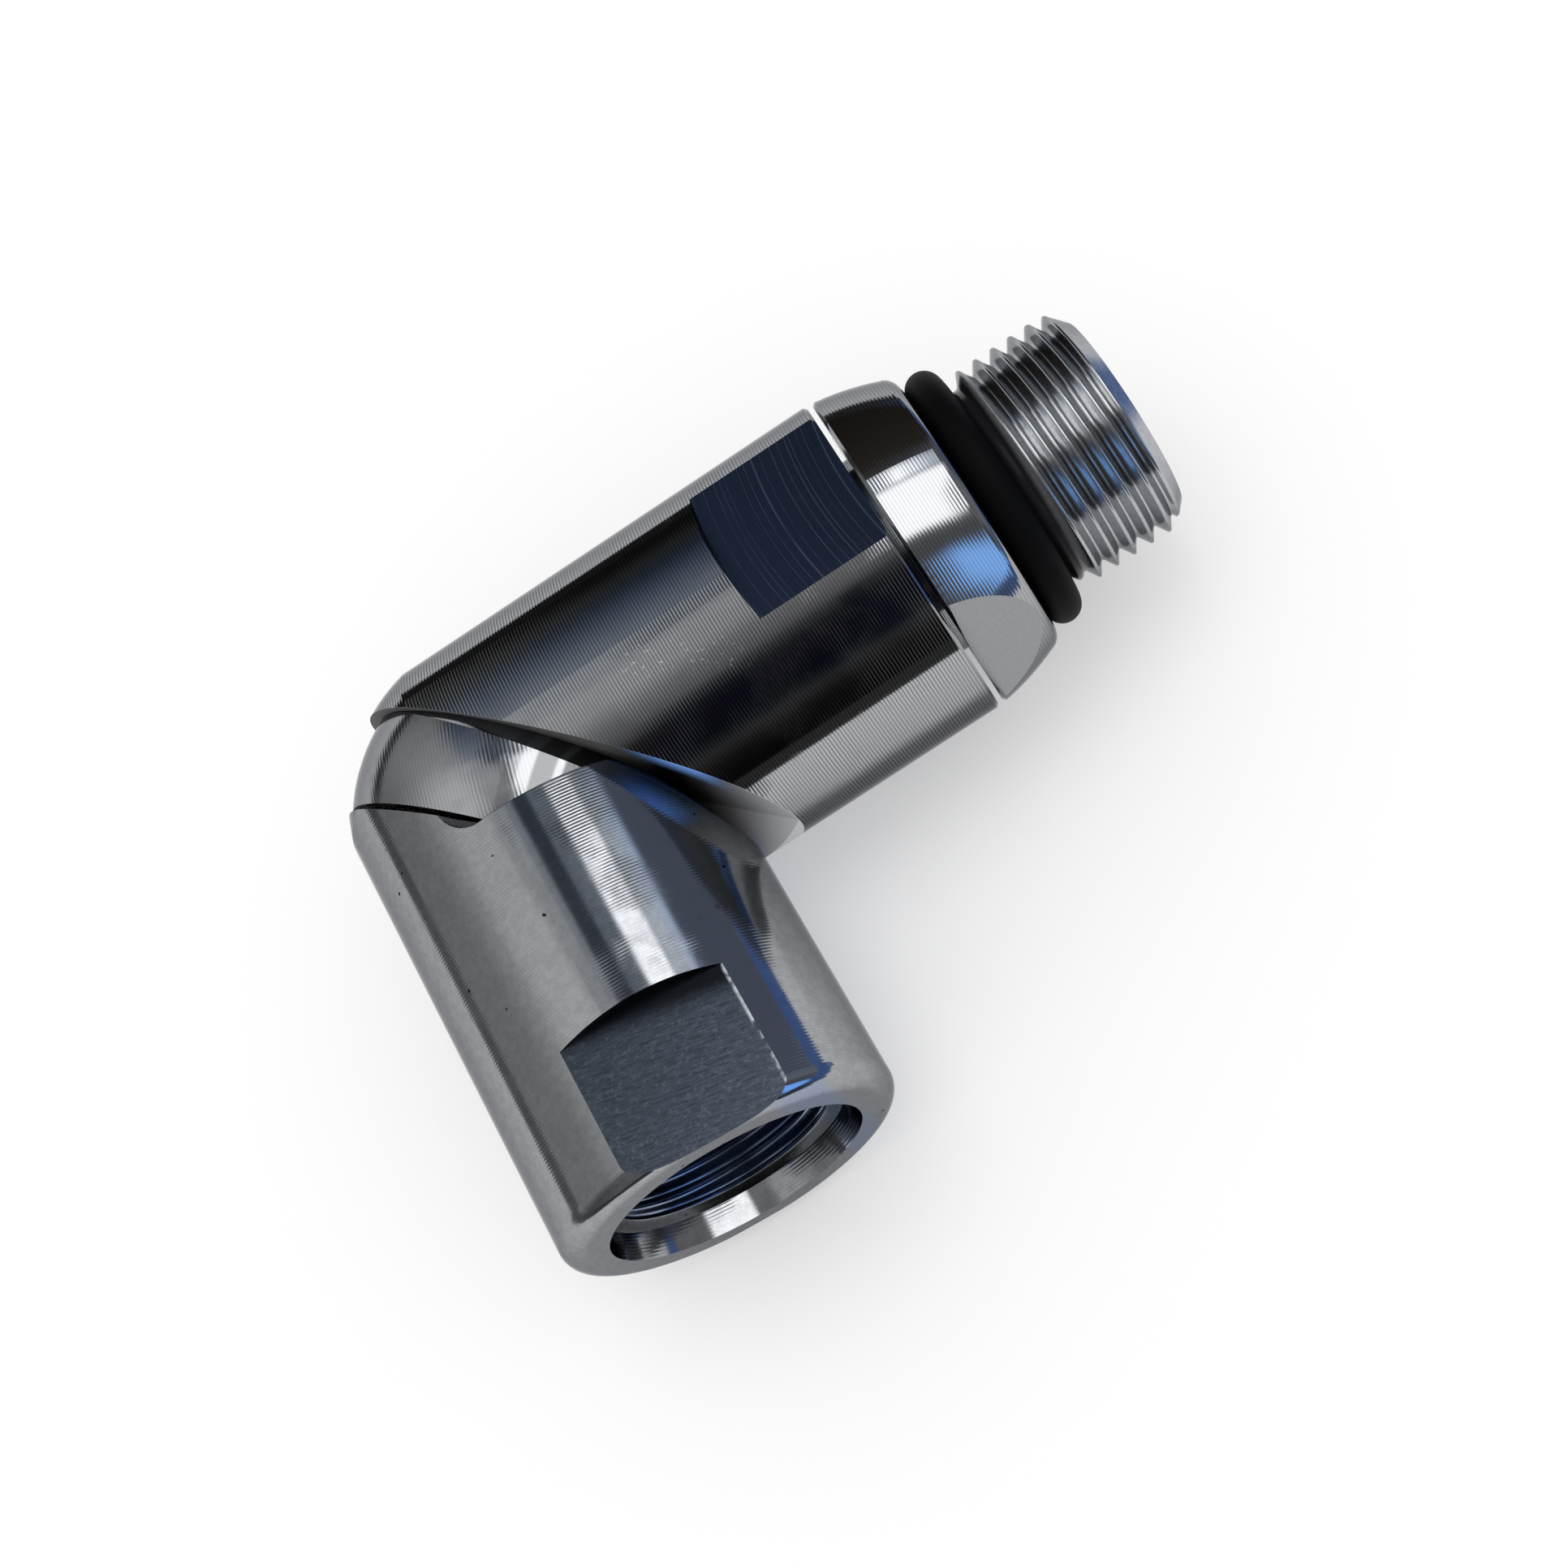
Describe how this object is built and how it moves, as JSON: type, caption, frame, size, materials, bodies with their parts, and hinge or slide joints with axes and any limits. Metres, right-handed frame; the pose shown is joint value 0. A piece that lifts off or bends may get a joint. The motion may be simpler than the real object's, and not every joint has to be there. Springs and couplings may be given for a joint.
{
  "type": "hydraulic rotary union",
  "caption": "Ninety degree inline ball-race rotary union: a threaded stud with a sealing ring spins in a barrel joined by a mitred knuckle elbow to an internally threaded port.",
  "frame": {"origin": "on the stud's axis where its full thread starts, beside the sealing ring's undercut", "axes": "+X along the stud's axis, out of its threaded end; -Y along the port's axis, out of its mouth; +Z square to the plane of the two axes, out of the side that shows the barrel's and the port's wrench flats best"},
  "size_m": [0.0794, 0.0566, 0.0332],
  "materials": {
    "barrel_steel": "bright plated, turned",
    "knuckle_steel": "bright plated, with fine cutter marks",
    "port_steel": "bright plated, turned",
    "stem_steel": "bright plated, turned",
    "ball_steel": "polished",
    "plug_steel": "dark plated",
    "bearing_bronze": "satin",
    "black_rubber": "smooth, slight sheen",
    "brown_rubber": "smooth",
    "white_ptfe": "waxy",
    "guide_plastic": "matte"
  },
  "bodies": {
    "elbow_body": {"swivel_barrel": "barrel_steel", "elbow_knuckle": "knuckle_steel", "port_body": "port_steel", "thrust_washer": "bearing_bronze", "dust_seal": "brown_rubber", "rear_loading_plug": "plug_steel", "front_loading_plug": "plug_steel"},
    "stem": {"male_stem": "stem_steel", "port_o_ring": "black_rubber", "stem_seal": "black_rubber", "inner_backup_ring": "white_ptfe", "outer_backup_ring": "white_ptfe", "guide_ring": "guide_plastic"},
    "balls": {"rear_ball_row": "ball_steel", "front_ball_row": "ball_steel"}
  },
  "joints": [
    {"name": "stem_spin", "type": "hinge", "parent": "elbow_body", "child": "stem", "pos_m": [-0.02051, 0, 0], "axis": [1, 0, 0], "continuous": true},
    {"name": "ball_orbit", "type": "hinge", "parent": "elbow_body", "child": "balls", "pos_m": [-0.02051, 0, 0], "axis": [1, 0, 0], "continuous": true}
  ],
  "couplings": [
    {"joint": "ball_orbit", "follows": "stem_spin", "ratio": 0.401}
  ]
}
